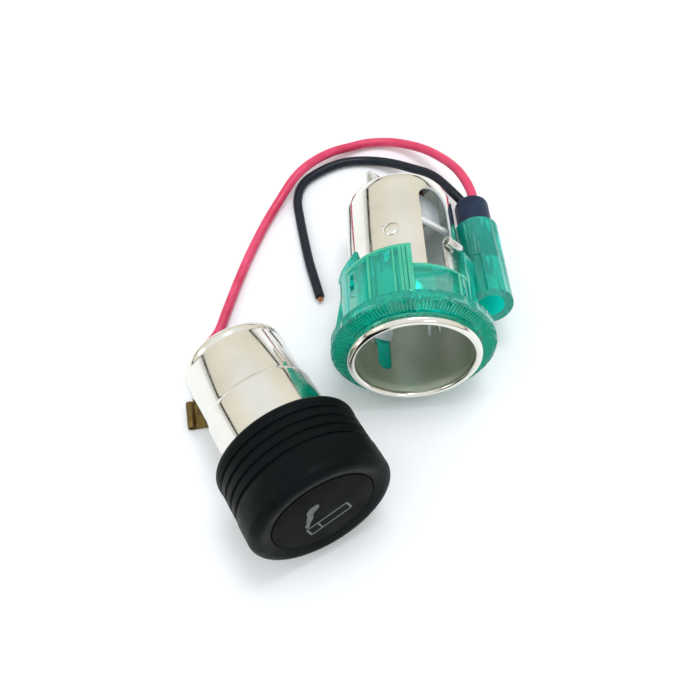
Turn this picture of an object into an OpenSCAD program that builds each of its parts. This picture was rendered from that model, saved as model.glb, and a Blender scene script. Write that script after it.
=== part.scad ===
// Car cigarette lighter: the pull-out plug and the lighted dashboard socket that it fits.
// The plug is out of its socket, and both lie on their sides on one flat surface (z = 0).
// Socket pieces are drawn from the mouth backwards along +Z, plug pieces from the knob's
// face towards the heater along +Z. In both, -Y is the side that faces up once laid down,
// and a clock angle of 0 is that side, 90 the right side as seen from the front.

/* [Socket shell] */
// Inner diameter of the socket
bore_d = 21; // [20.4:0.1:21.6]
// Thickness of the drawn steel
shell_wall = 0.4; // [0.3:0.05:0.5]
// Mouth to closed end
socket_len = 39.4; // [38:0.2:43]
// Cylindrical stretch of the bore, from the mouth plane
straight_len = 20; // [18.5:0.5:21.5]
// How much the radius shrinks from there to the closed end
back_taper = 0.2; // [0.1:0.05:0.3]
// How far the rolled lip stands out from the tube
lip_w = 1.5; // [1.2:0.1:2]
// Depth of the rolled lip
lip_depth = 2.4; // [2:0.1:3]
// How far the mouth opens out inside the lip
mouth_flare = 0.6; // [0.3:0.1:0.8]
// Outer radius of the closed end's edge
end_round = 2.2; // [1.5:0.1:3]
// Width of the spring window
window_w = 7.2; // [6:0.2:8]
// Start of the window, from the mouth
window_from = 14; // [13:0.2:16]
// Rounded end of the window, from the mouth
window_to = 35.2; // [33:0.2:36]
// Width of the narrow latch slot in the lower wall
slot_w = 2.9; // [2:0.1:4]
// Start of the narrow slot
slot_from = 6.8; // [6:0.2:9]
// End of the narrow slot
slot_to = 19.5; // [17:0.5:20]
// Diameter of the pressed pip on the tube
pip_d = 3.4; // [2.6:0.2:4]

/* [Retaining spring] */
// Width of the strip in the window
strip_w = 3.6; // [3:0.2:4.4]
// Thickness of the strip
strip_t = 0.35; // [0.25:0.05:0.45]
// Outer radius of the strip's curled end
curl_r = 1; // [0.8:0.05:1.2]
// Width and length of the bead that reaches through the window
bead_w = 2.4; // [2:0.1:2.6]

/* [Heater clip and contact stud] */
// Radius at which the two fingers grip the heater cup
grip_r = 7.1; // [7.1:0.1:7.6]
// Width of each finger
finger_w = 6; // [4:0.5:7]
// Thickness of the bimetal sheet
finger_t = 0.4; // [0.3:0.05:0.5]
// Length of the fingers
finger_len = 9.6; // [8.6:0.2:11]
// Height of the insulating spacer under the clip
spacer_h = 2.2; // [1.8:0.1:3]
// Diameter of the contact stud
stud_d = 3; // [2.5:0.1:3.4]
// Thickness of the outer insulating washer
washer_t = 0.8; // [0.6:0.1:1.2]
// Blade thickness of both spade tabs
tab_t = 0.8; // [0.6:0.1:1]
// Blade width of the positive tab
tab_w = 6.3; // [4.8:0.1:6.3]
// Blade width of the earth tab
earth_w = 4.8; // [4:0.1:5]
// How far the earth tab stands out of the closed end
earth_len = 5.6; // [4:0.2:8]
// How far the positive blade stands out beyond its foot
blade_len = 6; // [4:0.5:8]

/* [Light ring] */
// Radial play between the ring and the tube
ring_gap = 0.1; // [0.05:0.05:0.2]
// Wall of the skirt
skirt_wall = 1.9; // [1.5:0.1:2.2]
// How far the flange stands out from the tube
flange_w = 4.25; // [3.6:0.1:5]
// Thickness of the flange
flange_t = 2.55; // [2:0.1:3.2]
// Top of the low part of the skirt, from the mouth
skirt_low = 12.7; // [11:0.2:14]
// Top of the tall part of the skirt, from the mouth
skirt_tall = 17.5; // [16:0.2:19]
// Top of the snap latches, from the mouth
latch_top = 22.8; // [22:0.2:24]
// Arc of each latch, in degrees
latch_arc = 28; // [20:1:32]
// How far the latch's barb stands out of the skirt
barb = 0.25; // [0.1:0.05:0.5]

/* [Lamp tube] */
// Outer diameter of the lamp tube
lamp_d = 8.8; // [8:0.1:9.2]
// Bore of the lamp tube at its open front
lamp_bore_d = 5.3; // [4.8:0.1:5.6]
// Bore for the rubber holder at the back
holder_bore_d = 6.8; // [6.4:0.1:7]
// Length of the lamp tube
lamp_len = 19.5; // [18:0.5:21]
// Depth of the holder's bore from the back end
holder_seat = 9.5; // [8:0.5:11]
// Front of the lamp tube, from the mouth plane
lamp_from = 14; // [13:0.2:15]
// How far the lamp tube sinks into the skirt
lamp_sink = 1.3; // [0.9:0.1:1.6]
// Lean of the lamp tube towards the socket
lamp_lean = 1; // [0:0.5:1.5]
// Slant of the lamp tube's open end
lamp_slant = 8.5; // [0:0.5:12]

/* [Bulb and holder] */
// Diameter of the rubber holder outside the tube
holder_d = 7.2; // [6.9:0.1:7.6]
// How far the holder stands out of the tube
holder_out = 6.8; // [5:0.2:7.6]
// Diameter of the glass
bulb_d = 4.6; // [4:0.1:4.7]
// Length of the glass in front of the holder
bulb_len = 6.5; // [5:0.5:8]
// Wall of the glass
glass_t = 0.35; // [0.3:0.05:0.5]
// Distance between the two wires at the holder
wire_pitch = 3.6; // [3:0.2:3.8]

/* [Knob] */
// Largest diameter of the knob
knob_d = 26.9; // [26:0.1:28]
// Length of the knob
knob_len = 14.7; // [13.5:0.1:16]
// Radius of the soft front edge
knob_round = 1.8; // [1.2:0.1:2.2]
// Radius of the back edge
knob_back_round = 1.2; // [0.8:0.1:1.5]
// Wall of the knob's skirt
knob_wall = 1.55; // [1.2:0.05:1.8]
// Thickness of the knob's front
knob_front_t = 3; // [2.6:0.1:3.4]
// Number of grip grooves
groove_count = 4; // [2:1:4]
// First groove, from the face
groove_from = 6.1; // [5.6:0.1:6.6]
// Distance between grooves
groove_pitch = 1.94; // [1.6:0.02:2]
// Width of a groove
groove_w = 0.5; // [0.3:0.05:0.7]
// Depth of a groove
groove_depth = 0.35; // [0.2:0.05:0.5]
// Diameter of the inset face disc
disc_d = 19.2; // [18:0.1:19.6]
// Thickness of the face disc
disc_t = 1.1; // [0.8:0.1:1.4]
// Play round the face disc, which shows as a fine groove
disc_gap = 0.15; // [0.1:0.05:0.3]

/* [Plug barrel] */
// Diameter of the barrel next to the knob
barrel_d = 20.7; // [20.2:0.1:20.8]
// Step in radius at the bead
bead_step = 0.4; // [0.2:0.05:0.5]
// Bead, from the knob's face
bead_at = 24.4; // [23:0.2:26]
// Heater end of the barrel, from the knob's face
plug_len = 36.85; // [36:0.1:39]
// Outer radius of the barrel's end
barrel_round = 1.2; // [0.8:0.1:1.6]
// Thickness of the drawn steel
barrel_wall = 0.45; // [0.35:0.05:0.6]
// How far the knob pushes over the barrel
travel = 7; // [5:0.5:7]
// Clearance left under the knob's front at the end of the travel
push_gap = 0.6; // [0.3:0.1:1]

/* [Heater and spring] */
// Diameter of the stem
stem_d = 3; // [2.6:0.1:3.4]
// Running clearance of the stem in its guide, on the radius
stem_gap = 0.06; // [0.03:0.01:0.09]
// Outer diameter of the heater cup
cup_d = 14; // [13.4:0.1:14.2]
// Depth of the heater cup
cup_depth = 4.8; // [4:0.2:5.4]
// Sheet thickness of the cup
cup_t = 0.4; // [0.3:0.05:0.5]
// How far the cup's rim lies inside the barrel's end
cup_inset = 0.6; // [0.4:0.1:1.6]
// Turns of the heating ribbon
coil_turns = 4; // [3:1:5]
// Thickness of the ribbon
ribbon_t = 0.35; // [0.25:0.05:0.4]
// Height of the ribbon
ribbon_h = 2.8; // [2.2:0.1:3.2]
// Wire diameter of the return spring
spring_wire = 0.9; // [0.7:0.05:1.1]
// Mean diameter of the return spring
spring_d = 10.4; // [9.6:0.2:11.4]
// Turns of the return spring
spring_turns = 5; // [4:1:6]
// Thickness of the guide plate across the barrel
guide_t = 1; // [0.8:0.1:1.4]
// Guide plate, from the knob's face
guide_at = 19.4; // [18.6:0.2:20.6]

/* [Layout] */
// Sideways place of the socket's mouth
socket_x = 11.2; // [8:0.1:18]
// Depth place of the socket's mouth
socket_y = -5.6; // [-8:0.1:0]
// Turn of the socket on the surface
socket_yaw = 2.8; // [0:0.1:6]
// Sideways place of the plug's face
plug_x = -5; // [-8:0.1:-2]
// Depth place of the plug's face
plug_y = -33.4; // [-36:0.1:-30]
// Turn of the plug on the surface
plug_yaw = 29.5; // [24:0.5:34]

/* [Hidden] */

$fn = 96;
facets = 32;
eps = 0.01;
seat = 0.05;

// Radii and levels of the socket
bore_r = bore_d / 2;
shell_r = bore_r + shell_wall;
lip_r = shell_r + lip_w;
lip_roll = 0.65;
lip_edge = 0.45;
end_bore_r = bore_r - back_taper;
end_shell_r = shell_r - back_taper;
end_in = socket_len - shell_wall;
window_at = 35;
slot_at = 27;
hook_at = -32;
hook_w = 2.8;
hook_slit = 0.7;
hook_from = 12.9;
hook_to = 18.6;
clip_at = 35;
pip_at = -16;
pip_z = 23.6;
stud_play = 0.8;
stud_hole_r = stud_d / 2 + stud_play;

// Retaining springs: each one's bead stands at the side of its window
leaf_play = 0.2;
bead_play = 0.8;
leaf_at = window_at + asin((window_w / 2 - bead_w / 2 - bead_play) / shell_r);
strip_from = window_from - 4;
strip_to = latch_top - 2.6;
bead_from = window_from + bead_w;
bead_in = 0.08;

// Radii and levels of the light ring
ring_r = shell_r + ring_gap;
skirt_r = ring_r + skirt_wall;
flange_r = ring_r + flange_w;
flange_from = lip_depth + seat;
flange_to = flange_from + flange_t;
flange_edge = 0.3;
lip_play = 0.2;
face_fall = 0.5;
rim_w = 0.9;
rim_drop = 0.2;
channel_depth = 0.6;
tall_from = -66;
tall_to = 0;
saddle_from = 84;
saddle_to = 112;
web_at = 98;
web_arc = 16;
web_out = 1.2;
web_short = 2.4;
root = 0.5;
latch_at = [-75, 66, 175];
slit_at = [-90, 51, 81, 160, 190];
slit_arc = 3.6;
catch_z = latch_top - 3.8;
latch_foot = flange_to + 2;
eye_at = -57;
eye_w = 1.3;
eye_from = 11.8;
eye_to = 15.4;
gusset_at = -91;
gusset_w = 1.6;
gusset_top = 15.2;
lamp_drop = 2;

// Lamp tube and what it holds
lamp_r = lamp_d / 2;
lamp_x = skirt_r - lamp_sink + lamp_r;
holder_front = lamp_len - holder_seat + 0.2;
bulb_tip = holder_front - bulb_len;
bulb_base_r = 1.6;
bulb_base_len = 2.4;
glass_foot = 0.6;
filament_in = 2.2;
wire_r = 1;

// Levels of the clip, stud and tabs behind the socket
spacer_r = 5.6;
clip_z = end_in - spacer_h - finger_t;
stud_head_t = 0.9;
stud_head_r = 2.4;
washer_r = 3.2;
plate_z = socket_len + washer_t;
nut_z = plate_z + tab_t;
nut_h = 2;
nut_r = 3.1;
stud_end = nut_z + nut_h + 0.8;
earth_at = -48;
earth_r0 = 3.6;
earth_r1 = 6.4;
positive_at = 132;
positive_r = 6.8;

// Radii and levels of the knob
knob_r = knob_d / 2;
knob_in_r = knob_r - knob_wall;
knob_crest = 0.4;
band_in = 0.15;
band_edge = 0.7;
band_from = groove_from - band_edge;
band_to = groove_from + (groove_count - 1) * groove_pitch + band_edge;
seat_r = lip_r + lip_play;
seat_depth = lip_depth + lip_play;
disc_r = disc_d / 2;
boss_r = 3.2;
boss_len = 4.6;
boss_end = knob_front_t + boss_len;
stem_from = knob_front_t + push_gap;

// Radii and levels of the barrel
barrel_r = barrel_d / 2;
rear_r = barrel_r - bead_step;
barrel_from = knob_front_t + push_gap + travel;
end_open_r = rear_r - barrel_round + 0.1;

// Levels of the stem, guide, cup and coil
stem_r = stem_d / 2;
guide_hole_r = stem_r + stem_gap;
guide_bush_r = guide_hole_r + 0.9;
guide_bush_len = 3.6;
guide_end = guide_at + guide_t + guide_bush_len;
collar_r = stem_r + 1.1;
collar_t = 0.8;
cup_rim = plug_len - cup_inset;
cup_floor = cup_rim - cup_depth;
cup_r = cup_d / 2;
insulator_t = 0.8;
insulator_in = 3;
stem_end = cup_floor - insulator_t;
pad_t = 0.5;
pad_top = cup_floor + cup_t + pad_t;
rivet_r = 0.8;
rivet_head_r = 1.3;
rivet_head_t = 0.5;
coil_r0 = rivet_head_r + 0.05;
coil_r1 = cup_r - cup_t - 0.05 - ribbon_t;
coil_steps = 24;
spring_from = knob_front_t + seat + spring_wire / 2;
spring_to = guide_at - seat - spring_wire / 2;
spring_steps = 18;

// Resting tilt: the line that touches the widest rim and the round of the far end
socket_rim = [flange_to - flange_edge, flange_r];
socket_tail = [socket_len - end_round, end_shell_r - end_round];
socket_reach = norm(socket_tail - socket_rim);
socket_tilt = atan2(socket_rim[1] - socket_tail[1], socket_tail[0] - socket_rim[0])
    - asin(end_round / socket_reach);
socket_h = socket_rim[0] * sin(socket_tilt) + socket_rim[1] * cos(socket_tilt);
plug_rim = [knob_len - knob_back_round, knob_r - knob_back_round];
plug_tail = [plug_len - barrel_round, rear_r - barrel_round];
plug_reach = norm(plug_tail - plug_rim);
plug_tilt = atan2(plug_rim[1] - plug_tail[1], plug_tail[0] - plug_rim[0])
    + asin((knob_back_round - barrel_round) / plug_reach);
plug_h = plug_rim[0] * sin(plug_tilt) + plug_rim[1] * cos(plug_tilt) + knob_back_round;

// The two wires leave the holder one above the other
port_lift = wire_pitch / 2;
port_side = 0.6;
lamp_reach = lamp_len + holder_out;

// A point of the socket, given as right, down and back, in the frame of the surface
function socket_point(p) =
    let (t = socket_tilt, w = socket_yaw)
    [socket_x, socket_y, socket_h]
        + p[0] * [cos(w), sin(w), 0]
        + p[1] * [sin(t) * sin(w), -sin(t) * cos(w), -cos(t)]
        + p[2] * [-sin(w) * cos(t), cos(w) * cos(t), -sin(t)];
function port_point(side, down, ahead) =
    socket_point([lamp_x + side - lamp_reach * sin(lamp_lean), lamp_drop + down,
        lamp_from + lamp_reach * cos(lamp_lean) + ahead]);

// Red wire: over the back of the socket, down to the surface and round to its terminal
red_route = concat([port_point(port_side, -port_lift, 0), port_point(port_side, -port_lift, 2.4)], [
    [24, 41, 9.6], [22, 45.2, 8.4], [19.2, 50.4, 5.8], [15.2, 55, 3.4], [9.6, 58, 1.7],
    [4, 58.3, 1.3], [-0.6, 56.8, 1.6], [-5.2, 54.4, 2.4], [-9.6, 50.6, 3.2], [-13, 46.6, 3.1],
    [-16.2, 41.4, 1.8], [-19.2, 35.4, 1.1], [-22, 27.8, 1.1], [-24.2, 20.6, 1.1],
    [-26, 14, 1.1], [-27.5, 8.6, 1.1], [-30, 4.8, 1.1]]);
// Black wire: round the back of the socket, under the red one and back to its cut end
black_route = concat([port_point(-port_side, port_lift, 0), port_point(-port_side, port_lift, 2)], [
    [21.2, 40, 6.8], [17.4, 45.4, 5.5], [12.8, 48.9, 3.8], [8, 51.9, 2], [2.8, 53.2, 1.1],
    [-2.4, 52.6, 1.1], [-7.4, 50.1, 1.1], [-11, 46.8, 1.1], [-12.2, 42.4, 1.1],
    [-11.5, 36.8, 1.1], [-10.4, 31, 1.1], [-9.2, 25.4, 1.1], [-7.8, 20.4, 1.1], [-6.9, 17.2, 1.1]]);
// Terminal: middle of its open end and its turn on the surface
terminal_at = [-29.4, -12, 0];
terminal_yaw = 9.5;
terminal_len = 13.8;
crimp_r = 1.25;
red_end = terminal_at + terminal_len * [-sin(terminal_yaw), cos(terminal_yaw), 0] + [0, 0, crimp_r];
red_path = concat(red_route, [red_end]);
core_len = 1.2;
wire_sides = 8;
wire_steps = 2;

// Places a socket piece
module in_socket() {
    translate([socket_x, socket_y, socket_h])
        rotate([-90 - socket_tilt, 0, socket_yaw])
            children();
}

// Places a plug piece
module in_plug() {
    translate([plug_x, plug_y, plug_h])
        rotate([-90 - plug_tilt, 0, plug_yaw])
            children();
}

// Turns children, drawn towards -Y, to a clock angle
module clock(angle) {
    rotate([0, 0, angle])
        children();
}

// Part of a ring between two radii, two levels and two clock angles
module arc_ring(r0, r1, z0, z1, a0, a1) {
    clock(a0 - 90)
        translate([0, 0, z0])
            rotate_extrude(angle = a1 - a0)
                translate([r0, 0])
                    square([r1 - r0, z1 - z0]);
}

// Plain tube
module ring(r0, r1, h) {
    difference() {
        cylinder(r = r1, h = h);
        translate([0, 0, -1])
            cylinder(r = r0, h = h + 2);
    }
}

// Outline of the socket's outside, and with a wall taken off, of its inside
module cup_outline(r, tail_r, round, depth) {
    square([tail_r - round, depth]);
    polygon([[0, 0], [r, 0], [r, straight_len], [tail_r, depth - round], [0, depth - round]]);
    translate([tail_r - round, depth - round])
        circle(r = round);
}

// The rolled lip: a soft outer front corner and a mouth that opens out
module lip_outline() {
    polygon([[bore_r, lip_depth], [bore_r + mouth_flare, lip_edge],
        [bore_r + mouth_flare + lip_edge, 0], [lip_r - lip_roll, 0], [lip_r - lip_roll, lip_depth]]);
    translate([lip_r - lip_roll - 0.1, lip_roll])
        square([lip_roll + 0.1, lip_depth - lip_roll]);
    translate([lip_r - lip_roll, lip_roll])
        circle(r = lip_roll);
}

// Straight hole through the wall, long along the socket, with a round far end
module wall_slot(width, z0, z1, out_r) {
    translate([0, 0, z1 - width / 2])
        rotate([90, 0, 0])
            cylinder(d = width, h = out_r);
    translate([-width / 2, -out_r, z0])
        cube([width, out_r, z1 - width / 2 - z0]);
}

module socket_shell() {
    color("gainsboro") in_socket() {
        difference() {
            union() {
                rotate_extrude()
                    difference() {
                        union() {
                            cup_outline(shell_r, end_shell_r, end_round, socket_len);
                            lip_outline();
                        }
                        cup_outline(bore_r, end_bore_r, end_round - shell_wall, end_in);
                        polygon([[0, -1], [bore_r + mouth_flare + lip_edge, -1],
                            [bore_r + mouth_flare + lip_edge, 0], [bore_r + mouth_flare, lip_edge],
                            [bore_r, lip_depth], [0, lip_depth]]);
                    }
                clock(pip_at)
                    translate([0, -bore_r - 0.1, pip_z])
                        rotate([90, 0, 0])
                            cylinder(d = pip_d, h = shell_wall + 0.5);
            }
            for (side = [0, 180]) {
                clock(window_at + side)
                    wall_slot(window_w, window_from, window_to, shell_r + 1);
                clock(slot_at + side)
                    wall_slot(slot_w, slot_from, slot_to, shell_r + 1);
                clock(hook_at + side)
                    difference() {
                        wall_slot(hook_w, hook_from, hook_to, shell_r + 1);
                        wall_slot(hook_w - 2 * hook_slit, hook_from - 1,
                            hook_to - hook_slit, shell_r + 2);
                    }
            }
            translate([0, 0, end_in - 1])
                cylinder(r = stud_hole_r, h = 3);
        }
    }
}

// One leaf: a flat strip outside the wall, a bead into the bore and a curled end
module spring_leaf() {
    leaf_r = ring_r + seat;
    translate([-strip_w / 2, -leaf_r - strip_t, strip_from])
        cube([strip_w, strip_t, strip_to - strip_from]);
    translate([-bead_w / 2, -leaf_r, bead_from])
        cube([bead_w, leaf_r - bore_r + bead_in, bead_w]);
    translate([-strip_w / 2, -leaf_r - curl_r, strip_to])
        rotate([0, 90, 0])
            difference() {
                cylinder(r = curl_r, h = strip_w, $fn = facets);
                translate([0, 0, -1])
                    cylinder(r = curl_r - strip_t, h = strip_w + 2, $fn = facets);
                translate([0, -2 * curl_r, -1])
                    cube([2 * curl_r, 2 * curl_r, strip_w + 2]);
            }
}

module retaining_spring_upper() {
    color("silver") in_socket()
        clock(leaf_at)
            spring_leaf();
}

// The second spring lies opposite the first
module retaining_spring_lower() {
    color("silver") in_socket()
        clock(leaf_at + 180)
            spring_leaf();
}

// Half outline of the ring: flange with a coned face and the low skirt behind it
module ring_outline() {
    polygon([[ring_r, flange_from], [lip_r + lip_play, flange_from],
        [flange_r - rim_w, flange_from + face_fall],
        [flange_r - flange_edge, flange_from + rim_drop],
        [flange_r, flange_from + rim_drop + flange_edge],
        [flange_r, flange_to - flange_edge], [flange_r - flange_edge, flange_to],
        [skirt_r, flange_to], [skirt_r, skirt_low], [ring_r, skirt_low]]);
}

// Half outline of a latch: a barb that ramps down to the tube
module latch_outline() {
    polygon([[ring_r, latch_foot], [skirt_r, latch_foot], [skirt_r, catch_z - 0.4],
        [skirt_r + barb, catch_z], [ring_r + 0.2, latch_top], [ring_r, latch_top]]);
}

// Places what sits in the lamp tube; z = 0 is the tube's open front
module in_lamp() {
    translate([lamp_x, lamp_drop, lamp_from])
        rotate([0, -lamp_lean, 0])
            children();
}

// Room for one retaining spring: a channel in the ring, open above for its curl
module leaf_room() {
    room_w = strip_w + 2 * leaf_play;
    foot = strip_from - leaf_play;
    step = strip_to - curl_r - leaf_play;
    top = latch_top + 1;
    translate([-room_w / 2, 0, 0])
        rotate([90, 0, 90])
            linear_extrude(room_w)
                polygon([[1 - ring_r, foot], [-ring_r - channel_depth, foot],
                    [-ring_r - channel_depth, step], [-skirt_r - 1, step],
                    [-skirt_r - 1, top], [1 - ring_r, top]]);
}

module light_ring() {
    web_foot = flange_to - root;
    color("mediumseagreen") in_socket() {
        difference() {
            union() {
                rotate_extrude()
                    ring_outline();
                arc_ring(ring_r, skirt_r, skirt_low - 1, skirt_tall, tall_from, tall_to);
                arc_ring(ring_r, skirt_r, skirt_low - 1, skirt_tall, saddle_from, saddle_to);
                for (angle = latch_at)
                    clock(angle - latch_arc / 2 - 90)
                        rotate_extrude(angle = latch_arc)
                            latch_outline();
                clock(gusset_at)
                    rotate([90, 0, -90])
                        translate([0, 0, -gusset_w / 2])
                            linear_extrude(gusset_w)
                                polygon([[skirt_r - root, web_foot], [flange_r - root, web_foot],
                                    [flange_r - rim_w, latch_foot], [skirt_r, gusset_top],
                                    [skirt_r - root, gusset_top]]);
                arc_ring(skirt_r - root, skirt_r + web_out, web_foot, lamp_from - web_short,
                    web_at - web_arc / 2, web_at + web_arc / 2);
                in_lamp()
                    difference() {
                        translate([0, 0, -1])
                            cylinder(r = lamp_r, h = lamp_len + 1);
                        rotate([-lamp_slant, 0, 0])
                            translate([-lamp_r - 1, -lamp_r - 1, -4])
                                cube([2 * lamp_r + 2, 2 * lamp_r + 2, 4]);
                    }
            }
            for (angle = slit_at)
                arc_ring(ring_r - 1, skirt_r + 2, latch_foot, latch_top + 1,
                    angle - slit_arc / 2, angle + slit_arc / 2);
            clock(eye_at)
                wall_slot(eye_w, eye_from, eye_to, skirt_r + 1);
            for (side = [0, 180])
                clock(leaf_at + side)
                    leaf_room();
            in_lamp() {
                translate([0, 0, -2])
                    cylinder(d = lamp_bore_d, h = lamp_len);
                translate([0, 0, lamp_len - holder_seat])
                    cylinder(d = holder_bore_d, h = holder_seat + 1);
            }
        }
    }
}

// Two fingers on a square plate, each turned out at its mouth end
module finger() {
    flare_len = 1.8;
    flare_out = 1.4;
    translate([-finger_w / 2, -grip_r - finger_t, clip_z - finger_len + flare_len]) {
        cube([finger_w, finger_t, finger_len - flare_len + finger_t]);
        rotate([0, 90, 0])
            linear_extrude(finger_w)
                polygon([[0, 0], [flare_len, -flare_out],
                    [flare_len, finger_t - flare_out], [0, finger_t]]);
    }
}

module heater_clip() {
    color("silver") in_socket()
        difference() {
            union() {
                for (side = [0, 180])
                    clock(clip_at + side)
                        finger();
                clock(clip_at)
                    translate([-finger_w / 2, -grip_r - finger_t, clip_z])
                        cube([finger_w, 2 * (grip_r + finger_t), finger_t]);
            }
            translate([0, 0, clip_z - 1])
                cylinder(d = stud_d, h = 3);
        }
}

module clip_spacer() {
    color("saddlebrown") in_socket()
        translate([0, 0, clip_z + finger_t])
            ring(stud_d / 2, spacer_r, spacer_h);
}

module contact_stud() {
    color("goldenrod") in_socket() {
        translate([0, 0, clip_z - stud_head_t])
            cylinder(r = stud_head_r, h = stud_head_t);
        translate([0, 0, clip_z - eps])
            cylinder(d = stud_d - 0.06, h = stud_end - clip_z + eps);
    }
}

module stud_washer() {
    color("saddlebrown") in_socket() {
        translate([0, 0, socket_len])
            ring(stud_d / 2, washer_r, washer_t);
        translate([0, 0, end_in])
            ring(stud_d / 2, stud_hole_r - 0.05, shell_wall + eps);
    }
}

// Spade blade along +Z with chamfered corners, centred on x
module blade(width, length) {
    tip = width / 6;
    rotate([90, 0, 0])
        linear_extrude(tab_t)
            polygon([[-width / 2, 0], [width / 2, 0], [width / 2, length - tip],
                [width / 2 - tip, length], [tip - width / 2, length], [-width / 2, length - tip]]);
}

module positive_tab() {
    color("goldenrod") in_socket()
        clock(positive_at)
            difference() {
                union() {
                    translate([0, 0, plate_z])
                        cylinder(r = washer_r, h = tab_t);
                    translate([-tab_w / 2, -positive_r - tab_t, plate_z])
                        cube([tab_w, positive_r + tab_t, tab_t]);
                    translate([0, -positive_r, plate_z])
                        blade(tab_w, blade_len);
                }
                translate([0, 0, plate_z - 1])
                    cylinder(d = stud_d, h = 3);
            }
}

module stud_nut() {
    color("silver") in_socket()
        translate([0, 0, nut_z])
            difference() {
                cylinder(r = nut_r, h = nut_h, $fn = 6);
                translate([0, 0, -1])
                    cylinder(d = stud_d, h = nut_h + 2);
            }
}

module earth_tab() {
    color("silver") in_socket()
        clock(earth_at) {
            translate([-earth_w / 2, -earth_r1, socket_len])
                cube([earth_w, earth_r1 - earth_r0, tab_t]);
            translate([0, -earth_r0, socket_len])
                blade(earth_w, earth_len);
        }
}

module bulb_holder() {
    color("dimgray") in_socket() in_lamp()
        difference() {
            union() {
                translate([0, 0, holder_front])
                    cylinder(d = holder_bore_d - 2 * seat, h = lamp_reach - holder_front - 1);
                translate([0, 0, lamp_len])
                    cylinder(d = holder_d, h = holder_out);
            }
            translate([0, 0, holder_front - 1])
                cylinder(r = bulb_base_r, h = bulb_base_len + 1);
        }
}

module bulb_glass() {
    color("azure", 0.5) in_socket() in_lamp()
        translate([0, 0, bulb_tip])
            rotate_extrude()
                difference() {
                    union() {
                        translate([0, bulb_d / 2])
                            square([bulb_d / 2, bulb_len - bulb_d / 2]);
                        intersection() {
                            translate([0, bulb_d / 2])
                                circle(d = bulb_d);
                            square([bulb_d, bulb_d]);
                        }
                        translate([0, bulb_len - eps])
                            square([bulb_base_r - seat, bulb_base_len]);
                    }
                    translate([0, bulb_d / 2])
                        square([bulb_d / 2 - glass_t, bulb_len - bulb_d / 2 - glass_foot]);
                    intersection() {
                        translate([0, bulb_d / 2])
                            circle(r = bulb_d / 2 - glass_t);
                        square([bulb_d, bulb_d]);
                    }
                }
}

module bulb_filament() {
    lead_side = 0.8;
    coil_r = 0.14;
    color("gold") in_socket() in_lamp()
        translate([0, 0, bulb_tip + filament_in]) {
            for (side = [-1, 1])
                translate([side * lead_side, 0, 0])
                    cylinder(r = coil_r - 0.02, h = bulb_len - filament_in - glass_foot, $fn = 16);
            translate([-lead_side - coil_r, 0, 0])
                rotate([0, 90, 0])
                    cylinder(r = coil_r, h = 2 * (lead_side + coil_r), $fn = 16);
        }
}

// Half outline of the knob: rounded crest round the face, hollow skirt and a boss
module knob_outline() {
    crest_r = knob_r - knob_round;
    difference() {
        union() {
            translate([crest_r, knob_round - knob_crest])
                circle(r = knob_round);
            polygon([[0, 0], [disc_r, 0], [crest_r, -knob_crest], [crest_r, knob_len], [0, knob_len]]);
            translate([0, knob_round - knob_crest])
                square([knob_r, knob_len - knob_back_round - knob_round + knob_crest]);
            square([knob_r - knob_back_round, knob_len]);
            translate([knob_r - knob_back_round, knob_len - knob_back_round])
                circle(r = knob_back_round);
        }
        translate([0, -1])
            square([disc_r + disc_gap, disc_t + 1]);
        translate([boss_r, knob_front_t])
            square([knob_in_r - boss_r, knob_len]);
        translate([0, boss_end])
            square([knob_in_r, knob_len]);
        translate([0, stem_from])
            square([stem_r, knob_len]);
        translate([0, knob_len - seat_depth])
            square([seat_r, knob_len]);
        translate([knob_r - band_in, band_from])
            square([1, band_to - band_from]);
        for (k = [0 : groove_count - 1])
            translate([knob_r - band_in - groove_depth, groove_from + k * groove_pitch - groove_w / 2])
                square([1, groove_w]);
    }
}

module knob() {
    color("darkslategray") in_plug()
        rotate_extrude()
            knob_outline();
}

module knob_face_disc() {
    color("dimgray") in_plug()
        cylinder(r = disc_r, h = disc_t);
}

module stem() {
    color("silver") in_plug()
        translate([0, 0, stem_from])
            cylinder(r = stem_r, h = stem_end - stem_from);
}

module stem_collar() {
    color("silver") in_plug()
        translate([0, 0, guide_end + seat])
            ring(stem_r, collar_r, collar_t);
}

module return_spring() {
    count = spring_turns * spring_steps;
    color("silver") in_plug()
        sweep([for (k = [0 : count])
            let (a = 360 * k / spring_steps)
            [spring_d / 2 * cos(a), spring_d / 2 * sin(a),
                spring_from + (spring_to - spring_from) * k / count]], spring_wire / 2);
}

module barrel() {
    rear_from = bead_at + 0.6;
    color("gainsboro") in_plug()
        rotate_extrude()
            difference() {
                union() {
                    polygon([[0, barrel_from], [barrel_r, barrel_from], [barrel_r, bead_at],
                        [rear_r, rear_from], [rear_r, plug_len - barrel_round],
                        [0, plug_len - barrel_round]]);
                    translate([0, plug_len - barrel_round])
                        square([rear_r - barrel_round, barrel_round]);
                    translate([rear_r - barrel_round, plug_len - barrel_round])
                        circle(r = barrel_round);
                }
                polygon([[0, barrel_from - 1], [barrel_r - barrel_wall, barrel_from - 1],
                    [barrel_r - barrel_wall, bead_at], [rear_r - barrel_wall, rear_from],
                    [rear_r - barrel_wall, plug_len - barrel_round],
                    [0, plug_len - barrel_round]]);
                translate([rear_r - barrel_round, plug_len - barrel_round])
                    circle(r = barrel_round - barrel_wall);
                square([end_open_r, plug_len + 1]);
            }
}

module guide_plate() {
    rim_r = barrel_r - barrel_wall - 0.02;
    color("silver") in_plug()
        translate([0, 0, guide_at])
            difference() {
                union() {
                    cylinder(r = rim_r, h = guide_t);
                    cylinder(r = guide_bush_r, h = guide_t + guide_bush_len);
                }
                translate([0, 0, -1])
                    cylinder(r = guide_hole_r, h = guide_t + guide_bush_len + 2);
            }
}

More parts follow.
